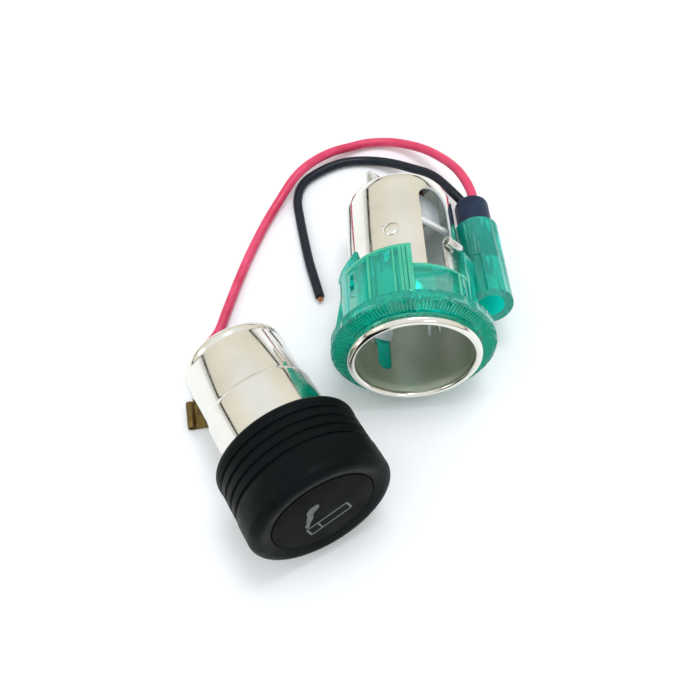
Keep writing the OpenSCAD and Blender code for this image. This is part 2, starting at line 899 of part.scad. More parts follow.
module heater_cup() {
    bead_r = 0.3;
    color("silver") in_plug()
        translate([0, 0, cup_floor])
            difference() {
                union() {
                    cylinder(r = cup_r, h = cup_depth);
                    translate([0, 0, cup_depth - bead_r])
                        rotate_extrude()
                            translate([cup_r, 0])
                                circle(r = bead_r, $fn = facets);
                }
                translate([0, 0, cup_t])
                    cylinder(r = cup_r - cup_t, h = cup_depth);
                translate([0, 0, -1])
                    cylinder(r = rivet_r + seat, h = 3);
            }
}

module cup_insulator() {
    color("ivory") in_plug()
        translate([0, 0, stem_end])
            ring(rivet_r + seat, cup_r - insulator_in, insulator_t);
}

module coil_insulator() {
    color("ivory") in_plug()
        translate([0, 0, cup_floor + cup_t])
            ring(rivet_r + seat, cup_r - cup_t - 0.1, pad_t);
}

// Spiral ribbon standing on edge on its insulating pad
module heater_coil() {
    last = coil_turns * coil_steps;
    function spiral(k, out) =
        let (a = 360 * k / coil_steps, r = coil_r0 + (coil_r1 - coil_r0) * k / last + out)
        [r * cos(a), r * sin(a)];
    color("slategray") in_plug()
        translate([0, 0, pad_top])
            linear_extrude(ribbon_h)
                polygon(concat([for (k = [0 : last]) spiral(k, 0)],
                    [for (k = [last : -1 : 0]) spiral(k, ribbon_t)]));
}

module coil_rivet() {
    color("silver") in_plug() {
        translate([0, 0, stem_end])
            cylinder(r = rivet_r, h = pad_top - stem_end + eps);
        translate([0, 0, pad_top])
            cylinder(r = rivet_head_r, h = rivet_head_t);
    }
}

// Point on a smooth curve through the route, at t steps after point k
function between(route, k, t) =
    let (n = len(route) - 1, p0 = route[max(k - 1, 0)], p1 = route[k],
        p2 = route[min(k + 1, n)], p3 = route[min(k + 2, n)])
    0.5 * (2 * p1 + (p2 - p0) * t + (2 * p0 - 5 * p1 + 4 * p2 - p3) * t * t
        + (3 * p1 - p0 - 3 * p2 + p3) * t * t * t);
function smooth(route) = concat(
    [for (k = [0 : len(route) - 2], j = [0 : wire_steps - 1]) between(route, k, j / wire_steps)],
    [route[len(route) - 1]]);
function unit(v) = v / norm(v);
function heading(path, k) =
    unit(path[min(k + 1, len(path) - 1)] - path[max(k - 1, 0)]);

// Round wire along a path
module sweep(path, r) {
    last = len(path) - 1;
    points = [for (k = [0 : last])
        let (t = heading(path, k), side = unit(cross(t, [0, 0, 1])), top = cross(side, t))
        for (j = [0 : wire_sides - 1])
            let (a = 360 * j / wire_sides)
            path[k] + r * (cos(a) * side + sin(a) * top)];
    walls = [for (k = [0 : last - 1], j = [0 : wire_sides - 1])
        let (a = k * wire_sides + j, b = k * wire_sides + (j + 1) % wire_sides)
        [a, b, b + wire_sides, a + wire_sides]];
    first_cap = [for (j = [wire_sides - 1 : -1 : 0]) j];
    last_cap = [for (j = [0 : wire_sides - 1]) last * wire_sides + j];
    polyhedron(points, concat([first_cap], walls, [last_cap]));
}

module red_wire() {
    color("crimson")
        sweep(smooth(red_path), wire_r);
}

module black_wire() {
    color("black")
        sweep(smooth(black_route), wire_r);
}

// Bare copper at the black wire's cut end
module black_wire_core() {
    end = black_route[len(black_route) - 1];
    ahead = heading(smooth(black_route), (len(black_route) - 1) * wire_steps);
    color("peru")
        translate(end)
            rotate([-90, 0, -atan2(ahead[0], ahead[1])])
                cylinder(r = 0.5, h = core_len, $fn = facets);
}

// Receptacle with two rolled edges, a neck and a closed crimp
module red_terminal() {
    sheet = 0.35;
    roll_r = 0.8;
    box_w = 5;
    box_len = 5.5;
    neck_w = 2;
    crimp_len = 5.8;
    color("goldenrod")
        translate(terminal_at)
            rotate([0, 0, terminal_yaw]) {
                for (side = [-1, 1])
                    translate([side * (box_w / 2 - roll_r), box_len, roll_r])
                        rotate([90, 0, 0])
                            difference() {
                                cylinder(r = roll_r, h = box_len, $fn = facets);
                                translate([0, 0, -1])
                                    cylinder(r = roll_r - sheet, h = box_len + 2, $fn = facets);
                                translate([-side * roll_r / 2, 0.1, box_len / 2])
                                    cube([roll_r, 0.7, box_len + 2], center = true);
                            }
                translate([roll_r - box_w / 2, 0, 0])
                    cube([box_w - 2 * roll_r, box_len, sheet]);
                translate([-neck_w / 2, box_len - 0.5, 0])
                    cube([neck_w, terminal_len - crimp_len - box_len + 1, sheet]);
                translate([0, terminal_len - crimp_len, crimp_r])
                    rotate([-90, 0, 0])
                        cylinder(r = crimp_r, h = crimp_len, $fn = facets);
            }
}

socket_shell();
light_ring();
retaining_spring_upper();
retaining_spring_lower();
heater_clip();
clip_spacer();
contact_stud();
stud_washer();
positive_tab();
stud_nut();
earth_tab();
bulb_holder();
bulb_glass();
bulb_filament();
knob();
knob_face_disc();
stem();
stem_collar();
return_spring();
barrel();
guide_plate();
heater_cup();
cup_insulator();
coil_insulator();
heater_coil();
coil_rivet();
red_wire();
red_terminal();
black_wire();
black_wire_core();
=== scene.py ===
from math import cos, pi, radians, sin

import bpy
from mathutils import Matrix, Vector


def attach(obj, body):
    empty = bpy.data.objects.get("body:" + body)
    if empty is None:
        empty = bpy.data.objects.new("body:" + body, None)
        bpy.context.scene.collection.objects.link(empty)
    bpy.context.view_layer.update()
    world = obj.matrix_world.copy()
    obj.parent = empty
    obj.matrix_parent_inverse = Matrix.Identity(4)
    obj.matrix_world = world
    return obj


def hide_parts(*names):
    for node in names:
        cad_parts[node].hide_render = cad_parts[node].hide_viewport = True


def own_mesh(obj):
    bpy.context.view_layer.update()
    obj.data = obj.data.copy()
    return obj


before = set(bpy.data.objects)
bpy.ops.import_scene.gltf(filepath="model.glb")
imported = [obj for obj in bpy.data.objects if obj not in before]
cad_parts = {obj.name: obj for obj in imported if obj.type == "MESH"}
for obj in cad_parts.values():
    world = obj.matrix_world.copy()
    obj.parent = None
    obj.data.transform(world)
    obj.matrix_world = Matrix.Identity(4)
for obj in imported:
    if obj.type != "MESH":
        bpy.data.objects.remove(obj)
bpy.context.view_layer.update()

# Camera: a product view from the knob's side, looking down at about sixty degrees, with the
# lens and distance of a small table-top shot.
bpy.ops.object.camera_add(location=(-0.00065, -0.07743, 0.15766), rotation=(radians(27.68), 0, 0))
camera = bpy.context.object
camera.name = "product_camera"
camera.data.lens = 45.15
camera.data.sensor_width = 36
camera.data.clip_start = 0.005
bpy.context.scene.camera = camera


# Red wire: thin lamp lead with soft PVC insulation, led round the socket's closed end and along
# the surface to its spade receptacle. Extruded skin, slightly glossy, with faint rubbed marks.
def srgb(code):
    """Linear colour of an sRGB hex code."""
    parts = [int(code[k : k + 2], 16) / 255 for k in (1, 3, 5)]
    return [p / 12.92 if p <= 0.04045 else ((p + 0.055) / 1.055) ** 2.4 for p in parts] + [1]


def node(material, kind, settings=None, links=None, **properties):
    """Adds a shader node with its socket values, and links its sockets from other nodes."""
    made = material.node_tree.nodes.new(kind)
    for key, value in properties.items():
        setattr(made, key, value)
    for key, value in (settings or {}).items():
        made.inputs[key].default_value = value
    for key, (source, output) in (links or {}).items():
        material.node_tree.links.new(source.outputs[output], made.inputs[key])
    return made


def link(material, source, output, target, socket):
    """Joins one node's output to another's input."""
    material.node_tree.links.new(source.outputs[output], target.inputs[socket])


def two_tone(material, shader, low, high, scale, spread=0.2):
    """Base colour that wanders between two tones over patches of 1/scale metres."""
    where = node(material, "ShaderNodeTexCoord")
    clouds = node(material, "ShaderNodeTexNoise", {"Scale": scale, "Detail": 4},
                  {"Vector": (where, "Object")})
    ramp = node(material, "ShaderNodeValToRGB", links={"Fac": (clouds, "Fac")})
    ramp.color_ramp.elements[0].position = 0.5 - spread
    ramp.color_ramp.elements[1].position = 0.5 + spread
    ramp.color_ramp.elements[0].color = srgb(low)
    ramp.color_ramp.elements[1].color = srgb(high)
    link(material, ramp, "Color", shader, "Base Color")
    return where


def grain(material, shader, where, scale, distance, strength=0.6):
    """Fine bump of 1/scale metres and a height of distance metres."""
    noise = node(material, "ShaderNodeTexNoise", {"Scale": scale, "Detail": 3},
                 {"Vector": (where, "Object")})
    bump = node(material, "ShaderNodeBump", {"Distance": distance, "Strength": strength},
                {"Height": (noise, "Fac")})
    link(material, bump, "Normal", shader, "Normal")


def uneven_gloss(material, shader, where, scale, low, high):
    """Roughness that drifts between two values, as on handled parts."""
    noise = node(material, "ShaderNodeTexNoise", {"Scale": scale, "Detail": 5},
                 {"Vector": (where, "Object")})
    span = node(material, "ShaderNodeMapRange",
                {"From Min": 0.3, "From Max": 0.7, "To Min": low, "To Max": high},
                {"Value": (noise, "Fac")})
    link(material, span, "Result", shader, "Roughness")


def finish(name, tones, gloss=None, bump=None, **surface):
    """A material: tones for two_tone, gloss for uneven_gloss, bump for grain, plain values."""
    material = bpy.data.materials.new(name)
    material.use_nodes = True
    shader = material.node_tree.nodes["Principled BSDF"]
    for key, value in surface.items():
        shader.inputs[key.replace("_", " ")].default_value = value
    where = two_tone(material, shader, *tones)
    if gloss:
        uneven_gloss(material, shader, where, *gloss)
    if bump:
        grain(material, shader, where, *bump)
    return material


def deselect():
    """Leaves nothing selected, so that an operator acts on the new piece alone."""
    bpy.ops.object.select_all(action="DESELECT")


def pick(piece):
    """Makes a piece the active one and the only one selected."""
    deselect()
    piece.select_set(True)
    bpy.context.view_layer.objects.active = piece


def dress(piece, material, body, slot=None, *nodes):
    """Gives a finished piece its material, its body and the CAD nodes that it stands for."""
    piece.data.materials.clear()
    piece.data.materials.append(material)
    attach(piece, body)
    if nodes:
        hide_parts(*nodes)


def smooth_route(points, steps):
    """Points in metres on a smooth curve through the route, which is in millimetres."""
    p = [Vector(q) / 1000 for q in points]
    line = []
    for k in range(len(p) - 1):
        a, b, c, d = p[max(k - 1, 0)], p[k], p[k + 1], p[min(k + 2, len(p) - 1)]
        for j in range(steps):
            t = j / steps
            line.append(0.5 * (2 * b + (c - a) * t + (2 * a - 5 * b + 4 * c - d) * t * t
                               + (3 * b - a - 3 * c + d) * t * t * t))
    line.append(p[-1])
    return line


def wire_piece(name, line, radius):
    """One open round wire along a line of points."""
    curve = bpy.data.curves.new(name, "CURVE")
    curve.dimensions = "3D"
    curve.bevel_depth = radius
    curve.bevel_resolution = 5
    curve.use_fill_caps = True
    spline = curve.splines.new("POLY")
    spline.points.add(len(line) - 1)
    for point, spot in zip(spline.points, line):
        point.co = (*spot, 1)
    piece = bpy.data.objects.new(name, curve)
    bpy.context.collection.objects.link(piece)
    return piece


red_route = [
    (24.9, 35.05, 10.1), (24.8, 37.4, 9.9), (23.7, 41, 9.6), (22, 45.2, 8.4),
    (19.2, 50.4, 5.8), (15.2, 55, 3.4), (9.6, 58, 1.7), (4, 58.3, 1.3), (-0.6, 56.8, 1.6),
    (-5.2, 54.4, 2.4), (-9.6, 50.6, 3.2), (-13, 46.6, 3.1), (-16.2, 41.4, 1.8),
    (-19.2, 35.4, 1.1), (-22, 27.8, 1.1), (-24.2, 20.6, 1.1), (-26, 14, 1.1),
    (-27.5, 8.6, 1.1), (-30, 4.8, 1.1), (-31.68, 1.61, 1.25),
]
black_route = [
    (24.2, 34.47, 6.43), (24.1, 36.45, 6.15), (21.2, 40, 6.8), (17.4, 45.4, 5.5),
    (12.8, 48.9, 3.8), (8, 51.9, 2), (2.8, 53.2, 1.1), (-2.4, 52.6, 1.1), (-7.4, 50.1, 1.1),
    (-11, 46.8, 1.1), (-12.2, 42.4, 1.1), (-11.5, 36.8, 1.1), (-10.4, 31, 1.1),
    (-9.2, 25.4, 1.1), (-7.8, 20.4, 1.1), (-6.9, 17.2, 1.1),
]
wire_radius = 0.001
route_steps = 6
red_pvc = finish("soft_red_pvc", ("#cb2a55", "#de4470", 260), gloss=(420, 0.32, 0.5),
                 bump=(2600, 0.00002), IOR=1.52, Roughness=0.38, Subsurface_Weight=0.12,
                 Subsurface_Scale=0.0008)
red_line = smooth_route(red_route, route_steps)
red_wire = wire_piece("red_wire_skin", red_line, wire_radius)
dress(red_wire, red_pvc, "lighter_set", "red_insulation", "red_wire")

# Black wire: the lamp's earth lead, of the same thin PVC wire, cut off square a little way past
# the socket, so that its copper strands show at the end.
black_pvc = finish("soft_black_pvc", ("#0a131e", "#121d2b", 300), gloss=(420, 0.28, 0.46),
                   bump=(2600, 0.00002), IOR=1.52, Roughness=0.34, Specular_IOR_Level=0.25)
black_line = smooth_route(black_route, route_steps)
black_wire = wire_piece("black_wire_skin", black_line, wire_radius)
dress(black_wire, black_pvc, "lighter_set", "black_insulation", "black_wire")

# Copper core: seven fine strands of the black wire's conductor, bare where it is cut off. Cut
# copper is bright and a little uneven, and the outer strands splay by a few degrees.
strand_radius = 0.00016
strand_ring = 0.00033
strand_length = 0.0016
uneven_cut = 0.0001
strand_out = 0.0002
splay = radians(5)
copper = finish("cut_copper", ("#a8683f", "#d79a6c", 1800), bump=(5200, 0.00001), Metallic=1,
                Roughness=0.32)
end_way = (black_line[-1] - black_line[-3]).normalized()
turn = end_way.to_track_quat("Z", "Y").to_matrix().to_4x4()


def joined(name, pieces):
    """One piece made of several that are formed or fused together."""
    deselect()
    for piece in pieces:
        piece.select_set(True)
    bpy.context.view_layer.objects.active = pieces[0]
    bpy.ops.object.join()
    pieces[0].name = name
    return pieces[0]


deselect()
strands = []
for k in range(7):
    around = k * pi / 3
    out = 0 if k == 6 else strand_ring
    bpy.ops.mesh.primitive_cylinder_add(vertices=10, radius=strand_radius,
                                        depth=strand_length - uneven_cut * (k % 3))
    strand = bpy.context.object
    strand.data.transform(Matrix.Translation((0, 0, strand_out)))
    lean_axis = Vector((-sin(around), cos(around), 0))
    strand.data.transform(Matrix.Rotation(splay if out else 0, 4, lean_axis))
    strand.data.transform(Matrix.Translation((out * cos(around), out * sin(around), 0)))
    strands.append(strand)
copper_core = joined("copper_strands", strands)
bpy.ops.object.shade_smooth_by_angle(angle=radians(40))
copper_core.data.transform(Matrix.Translation(black_line[-1]) @ turn)
dress(copper_core, copper, "lighter_set", "copper", "black_wire_core")

# Floor and light: pale matt paper under soft boxes in a white room. The room has a dark band low
# down, which the bright metal shows as a streak. The camera itself sees a plain pale wall.
bpy.context.scene.view_settings.view_transform = "Standard"
bpy.ops.mesh.primitive_plane_add(size=3, location=(0, 0, 0))
floor = bpy.context.object
floor.name = "paper_floor"
paper = finish("white_paper", ("#f3f7fd", "#f8fbff", 30), Roughness=0.9)
floor.data.materials.append(paper)


def soft_box(name, spot, aim, width, height, power):
    """A rectangular light that looks at a point."""
    bpy.ops.object.light_add(type="AREA", location=spot)
    lamp = bpy.context.object
    lamp.name = name
    lamp.data.shape = "RECTANGLE"
    lamp.data.size = width
    lamp.data.size_y = height
    lamp.data.energy = power
    lamp.rotation_euler = (Vector(aim) - Vector(spot)).to_track_quat("-Z", "Y").to_euler()


soft_box("top_box", (0.05, 0.12, 0.6), (0, 0, 0), width=0.24, height=0.18, power=1.15)
soft_box("left_box", (-0.5, -0.1, 0.35), (0, 0, 0.01), width=0.16, height=0.16, power=0.3)
soft_box("front_box", (0.25, -0.5, 0.4), (0, 0, 0.01), width=0.14, height=0.14, power=0.25)
room = bpy.data.worlds.new("white_room")
room.use_nodes = True
backdrop = room.node_tree.nodes["Background"]
backdrop.inputs["Strength"].default_value = 1.05
where_room = node(room, "ShaderNodeTexCoord")
apart = node(room, "ShaderNodeSeparateXYZ", links={"Vector": (where_room, "Generated")})
height = node(room, "ShaderNodeValToRGB", links={"Fac": (apart, "Z")})
height.color_ramp.elements[0].position = 0.05
height.color_ramp.elements[0].color = srgb("#e3e4e2")
height.color_ramp.elements[1].position = 0.75
height.color_ramp.elements[1].color = srgb("#f6f8fa")
for band, tone in ((0.08, "#1d1c18"), (0.12, "#24231e"), (0.15, "#e9e5d8"), (0.5, "#f2eee2")):
    height.color_ramp.elements.new(band).color = srgb(tone)
link(room, height, "Color", backdrop, "Color")
pale = node(room, "ShaderNodeBackground", {"Color": srgb("#f3f6f8"), "Strength": 1})
ray = node(room, "ShaderNodeLightPath")
seen = node(room, "ShaderNodeMixShader", links={
    "Fac": (ray, "Is Camera Ray"), 1: (backdrop, "Background"), 2: (pale, "Background")})
link(room, seen, "Shader", room.node_tree.nodes["World Output"], "Surface")
bpy.context.scene.world = room


# Socket shell: deep-drawn steel tube with bright nickel plate, which gives it a warm silver tone.
# The lip is curled outwards at the mouth, and windows, slits, hooks and a pip are pressed in it.
def in_frame(origin, tilt, yaw):
    """Matrix of a piece that lies on the surface: x right, y down, z away from its face."""
    return (Matrix.Translation(Vector(origin) / 1000) @ Matrix.Rotation(radians(yaw), 4, "Z")
            @ Matrix.Rotation(radians(-90 - tilt), 4, "X"))


socket_frame = in_frame((11.2, -5.6, 15.753), 7.933, 2.8)


def arc(centre_r, centre_z, radius, start, stop, steps):
    """Profile points, in millimetres, round part of a circle; angles are in degrees."""
    return [(centre_r + radius * cos(radians(start + (stop - start) * k / steps)),
             centre_z + radius * sin(radians(start + (stop - start) * k / steps)))
            for k in range(steps + 1)]


def turned(name, profile, sides=128, closed=True):
    """A turned piece: a circle drawn out along a profile of (radius, level) in millimetres."""
    deselect()
    first = profile[0]
    bpy.ops.mesh.primitive_circle_add(vertices=sides, radius=max(first[0], 0.0001) / 1000,
                                      location=(0, 0, first[1] / 1000))
    piece = bpy.context.object
    piece.name = name
    bpy.ops.object.transform_apply(location=True)
    bpy.ops.object.mode_set(mode="EDIT")
    bpy.ops.mesh.select_all(action="SELECT")
    for (r0, z0), (r1, z1) in zip(profile, profile[1:]):
        bpy.ops.mesh.extrude_region_move(
            TRANSFORM_OT_translate={"value": (0, 0, (z1 - z0) / 1000)})
        k = max(r1, 0.0001) / max(r0, 0.0001)
        bpy.ops.transform.resize(value=(k, k, 1))
    bpy.ops.mesh.select_all(action="SELECT")
    bpy.ops.mesh.remove_doubles(threshold=0.000002)
    if closed:
        bpy.ops.mesh.select_all(action="DESELECT")
        bpy.ops.mesh.select_non_manifold()
        bpy.ops.mesh.fill_holes(sides=0)
        bpy.ops.mesh.select_all(action="SELECT")
    bpy.ops.mesh.normals_make_consistent(inside=False)
    bpy.ops.object.mode_set(mode="OBJECT")
    return piece


def smooth(piece, angle=32):
    """Smooth shading with creases at sharper edges than angle."""
    pick(piece)
    bpy.ops.object.shade_smooth_by_angle(angle=radians(angle))


def cut_out(piece, cutters, keep=False):
    """Takes the cutters out of a piece, or with keep adds them to it, and removes them."""
    bpy.context.view_layer.objects.active = piece
    for cutter in cutters:
        tool = piece.modifiers.new("cut", "BOOLEAN")
        tool.object = cutter
        tool.operation = "UNION" if keep else "DIFFERENCE"
        tool.solver = "EXACT"
        bpy.ops.object.modifier_apply(modifier=tool.name)
    for cutter in cutters:
        bpy.data.objects.remove(cutter)


def slot_cutter(width, low, high, clock):
    """A cutter for a slot along the tube with round ends, at a clock angle; in millimetres."""
    inner, outer = 6, 12
    deselect()
    bpy.ops.mesh.primitive_cylinder_add(vertices=40, radius=width / 2000,
                                        depth=(outer - inner) / 1000)
    piece = bpy.context.object
    middle = sum(v.co.y for v in piece.data.vertices) / len(piece.data.vertices)
    stretch = (high - low - width) / 2000
    for vertex in piece.data.vertices:
        vertex.co.y += stretch if vertex.co.y > middle else -stretch
    piece.data.transform(Matrix.Rotation(radians(clock), 4, "Z")
                         @ Matrix.Translation((0, -(outer + inner) / 2000, (low + high) / 2000))
                         @ Matrix.Rotation(radians(90), 4, "X"))
    return piece


def place(piece, matrix):
    """Turns and moves a piece's mesh to where it belongs."""
    piece.data.transform(matrix)


shell_profile = (
    [(2.3, 39.4)] + arc(8.5, 37.2, 2.2, 90, 0, 8)
    + [(10.9, level) for level in (36.2, 26, 25, 22.6, 21.6, 12, 2.75)]
    + [(11, 2.5), (11.2, 2.4)] + arc(11.8, 1.8, 0.6, 90, 0, 6) + [(12.4, 1.3)]
    + arc(11.5, 0.93, 0.9, 10, -90, 10) + arc(11.45, 0.55, 0.52, -90, -165, 6)
    + [(10.86, 0.9), (10.66, 1.6), (10.52, 2.4)]
    + [(10.5, level) for level in (3.2, 12, 21.5, 30)]
    + arc(8.5, 37.2, 1.8, 0, 90, 8) + [(2.3, 39.0), (2.3, 39.4)]
)
shell = turned("socket_shell_skin", shell_profile, sides=144, closed=False)
window_clock = 35
slit_clock = 27
hook_clock = -32
pip_clock = -16
shell_cutters = []
for side in (0, 180):
    shell_cutters.append(slot_cutter(width=7.2, low=10.4, high=35.2, clock=window_clock + side))
    shell_cutters.append(slot_cutter(width=2.9, low=5.3, high=19.5, clock=slit_clock + side))
    # The hook is lanced free by two long cuts and a cross cut: offset, width, length, middle.
    for way, width, span, middle in ((-1.05, 0.7, 5.7, 15.75), (1.05, 0.7, 5.7, 15.75),
                                     (0, 2.8, 0.7, 18.25)):
        bpy.ops.mesh.primitive_cube_add(size=0.001)
        lance = bpy.context.object
        lance.data.transform(Matrix.Rotation(radians(hook_clock + side), 4, "Z")
                             @ Matrix.Translation((way / 1000, -0.0107, middle / 1000))
                             @ Matrix.Diagonal((width, 2, span, 1)))
        shell_cutters.append(lance)
deselect()
bpy.ops.mesh.primitive_uv_sphere_add(segments=40, ring_count=20, radius=0.0017)
pip = bpy.context.object
pip.data.transform(Matrix.Rotation(radians(pip_clock), 4, "Z")
                   @ Matrix.Translation((0, -0.0106, 0.0238))
                   @ Matrix.Rotation(radians(-9), 4, "X") @ Matrix.Diagonal((1, 0.34, 1.15, 1)))
cut_out(shell, [pip], keep=True)
cut_out(shell, shell_cutters)

nickel = finish("bright_nickel_plate", ("#dedcd3", "#eeece5", 140, 0.3), gloss=(500, 0.05, 0.13),
                bump=(900, 0.00002, 0.25), Metallic=1, Roughness=0.16)
dress(shell, nickel, "lighter_set", "nickel_steel", "socket_shell")
# Satin bore plate: its greenish tint is a painted reflection of the green ring's light.
satin_bore_painted_green = finish("satin_nickel_bore_painted_green", ("#b2bcab", "#cdd3c4", 90, 0.3), gloss=(300, 0.44, 0.56),
              bump=(1500, 0.00002, 0.3), Metallic=1, Roughness=0.5)
# Slot walls: bare sheared steel, coloured near black as painted shade.
edge = finish("sheared_edge_painted_shade", ("#23252c", "#3a3d46", 800), bump=(4000, 0.00001, 0.4),
              Metallic=1, Roughness=0.5)
shell.data.materials.append(satin_bore_painted_green)
shell.data.materials.append(edge)
# Closed end inside: its pale, bluish, partly diffuse colour is painted light.
pale_end_painted_light = finish("satin_end_painted_light", ("#dfe8ea", "#f1f6f7", 160), gloss=(400, 0.5, 0.7),
              bump=(1500, 0.00001, 0.3), Metallic=0.25, Roughness=0.55)
shell.data.materials.append(pale_end_painted_light)
# The plate inside is satin, tinted green as a painted reflection of the green ring, and paler and
# bluish at the closed end as painted light; the slots' walls are bare sheared steel, darkened as
# painted shade.
painted_green_bore_slot, shaded_edge_slot, painted_light_end_slot = 1, 2, 3
lip_back, end_start = 0.0008, 0.0215
wall_inside, wall_middle, wall_outside = 0.01045, 0.01088, 0.01095
slots_low, slots_high = 0.004, 0.036
sideways = 0.4
for face in shell.data.polygons:
    reach = Vector((face.center.x, face.center.y))
    level = face.center.z
    if level > lip_back and reach.length < wall_middle and face.normal.xy.dot(reach) < 0:
        face.material_index = painted_green_bore_slot if level < end_start else painted_light_end_slot
    elif wall_inside < reach.length < wall_outside and slots_low < level < slots_high:
        if abs(face.normal.xy.dot(reach.normalized())) < sideways:
            face.material_index = shaded_edge_slot
place(shell, socket_frame)
smooth(shell)
even = shell.modifiers.new("even", "WEIGHTED_NORMAL")
even.keep_sharp = True
bpy.ops.object.modifier_apply(modifier=even.name)

# Light ring: one injection moulding in clear emerald green plastic, with flange, skirt, snap
# latches and the lamp's tube. Light goes through it and gathers at its edges.
green = finish("clear_green_plastic", ("#04dfca", "#14ecda", 120), bump=(300, 0.00001, 0.1),
               IOR=1.49, Roughness=0.08, Transmission_Weight=0.78, Specular_IOR_Level=0.35)
# Painted shade: the ridges' green is darker and less clear than the walls'.
shaded_ridge_green = finish("green_ridges_painted_shade", ("#1ac8a8", "#2fdcbc", 200), bump=(500, 0.00001, 0.2),
                     IOR=1.49, Roughness=0.14, Transmission_Weight=0.4)
# Painted light: the brims' green is paler than the walls'.
lit_brim_green = finish("green_brim_painted_light", ("#3fd6ae", "#66e6c6", 200), bump=(500, 0.00001, 0.2),
                    IOR=1.49, Roughness=0.12, Transmission_Weight=0.45)


def merged_copy(node_name, piece_name):
    """A merged and smoothed copy of a CAD node's mesh, as a new piece."""
    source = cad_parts[node_name]
    mesh = source.data.copy()
    piece = bpy.data.objects.new(piece_name, mesh)
    bpy.context.collection.objects.link(piece)
    pick(piece)
    bpy.ops.object.mode_set(mode="EDIT")
    bpy.ops.mesh.select_all(action="SELECT")
    bpy.ops.mesh.remove_doubles(threshold=0.000001)
    bpy.ops.mesh.tris_convert_to_quads(face_threshold=radians(2), shape_threshold=radians(60))
    bpy.ops.object.mode_set(mode="OBJECT")
    smooth(piece, 25)
    return piece


ring = merged_copy("light_ring", "light_ring_moulding")
dress(ring, green, "lighter_set", "green_plastic", "light_ring")

# Flange ribs: fine ridges moulded all round the flange's face and side, which spread the lamp's
# light evenly. They are the ring's own green plastic, given a duller, darker and less clear green
# than its smooth walls as painted shade for the ridges' dark stripes.
# Sizes of a rib are its width, length and height in millimetres.
rib_count = 132
crest_share = 0.5
face_slope = radians(-13)
face_rib_size = (0.26, 2.5, 0.46, 1)
side_rib_size = (0.1, 1.7, 0.14, 1)
deselect()
bpy.ops.mesh.primitive_cube_add(size=0.001)
rib = bpy.context.object
for vertex in rib.data.vertices:
    if vertex.co.z < 0:
        vertex.co.x *= crest_share
side_rib = rib.copy()
side_rib.data = rib.data.copy()
bpy.context.collection.objects.link(side_rib)
rib.data.transform(Matrix.Translation((0, -0.0138, 0.00282))
                   @ Matrix.Rotation(face_slope, 4, "X") @ Matrix.Diagonal(face_rib_size))
side_rib.data.transform(Matrix.Translation((0, -0.01517, 0.0039))
                        @ Matrix.Rotation(radians(-90), 4, "X")
                        @ Matrix.Diagonal(side_rib_size))
rib = joined("flange_rib", [rib, side_rib])
ribs = [rib]
for k in range(1, rib_count):
    again = rib.copy()
    again.data = rib.data.copy()
    again.data.transform(Matrix.Rotation(2 * pi * k / rib_count, 4, "Z"))
    bpy.context.collection.objects.link(again)
    ribs.append(again)
flange_ribs = joined("flange_ribs", ribs)
place(flange_ribs, socket_frame)
dress(flange_ribs, shaded_ridge_green, "lighter_set", "green_plastic")

# Skirt ribs and brims: thin bars along the skirt and its two edges, moulded with it. They gather
# the light and look paler than the walls; their paler green is painted light. Bars are given as
# clock angle, width and top level.
flange_back = 5.2
bar_radius = 0.01288
bar_height = 0.5
bars = []
for clock, width, top in ((-15, 0.35, 17.3), (-9.5, 0.5, 17), (-6.5, 0.5, 17), (-2.2, 0.9, 17.3),
                          (-37, 0.5, 16.8), (40, 0.5, 12.3)):
    deselect()
    bpy.ops.mesh.primitive_cube_add(size=0.001)
    bar = bpy.context.object
    bar.data.transform(Matrix.Rotation(radians(clock), 4, "Z")
                       @ Matrix.Translation((0, -bar_radius, (flange_back + top) / 2000))
                       @ Matrix.Diagonal((width, bar_height, top - flange_back, 1)))
    bars.append(bar)
skirt_ribs = joined("skirt_ribs", bars)
place(skirt_ribs, socket_frame)
dress(skirt_ribs, lit_brim_green, "lighter_set", "green_plastic")


def bent_strip(name, path, width, thickness):
    """Sheet metal bent along (y, z) points in millimetres, its width along x."""
    deselect()
    bpy.ops.mesh.primitive_plane_add(size=width / 1000)
    piece = bpy.context.object
    piece.name = name
    for vertex in piece.data.vertices:
        far = vertex.co.y > 0
        y, z = path[1] if far else path[0]
        vertex.co = (vertex.co.x, y / 1000, z / 1000)
        vertex.select = far
    for edge in piece.data.edges:
        edge.select = all(piece.data.vertices[v].select for v in edge.vertices)
    for face in piece.data.polygons:
        face.select = False
    bpy.ops.object.mode_set(mode="EDIT")
    bpy.ops.mesh.select_mode(type="EDGE")
    for (y0, z0), (y1, z1) in zip(path[1:], path[2:]):
        bpy.ops.mesh.extrude_edges_move(
            TRANSFORM_OT_translate={"value": (0, (y1 - y0) / 1000, (z1 - z0) / 1000)})
    bpy.ops.object.mode_set(mode="OBJECT")
    wall = piece.modifiers.new("wall", "SOLIDIFY")
    wall.thickness = thickness / 1000
    wall.offset = 0
    wall.use_even_offset = True
    bpy.ops.object.modifier_apply(modifier=wall.name)
    edge_round = piece.modifiers.new("edge", "BEVEL")
    edge_round.width = min(0.06, thickness / 5) / 1000
    edge_round.segments = 2
    edge_round.limit_method = "ANGLE"
    edge_round.angle_limit = radians(60)
    bpy.ops.object.modifier_apply(modifier=edge_round.name)
    bpy.ops.object.mode_set(mode="EDIT")
    bpy.ops.mesh.select_all(action="SELECT")
    bpy.ops.mesh.normals_make_consistent(inside=False)
    bpy.ops.object.mode_set(mode="OBJECT")
    return piece


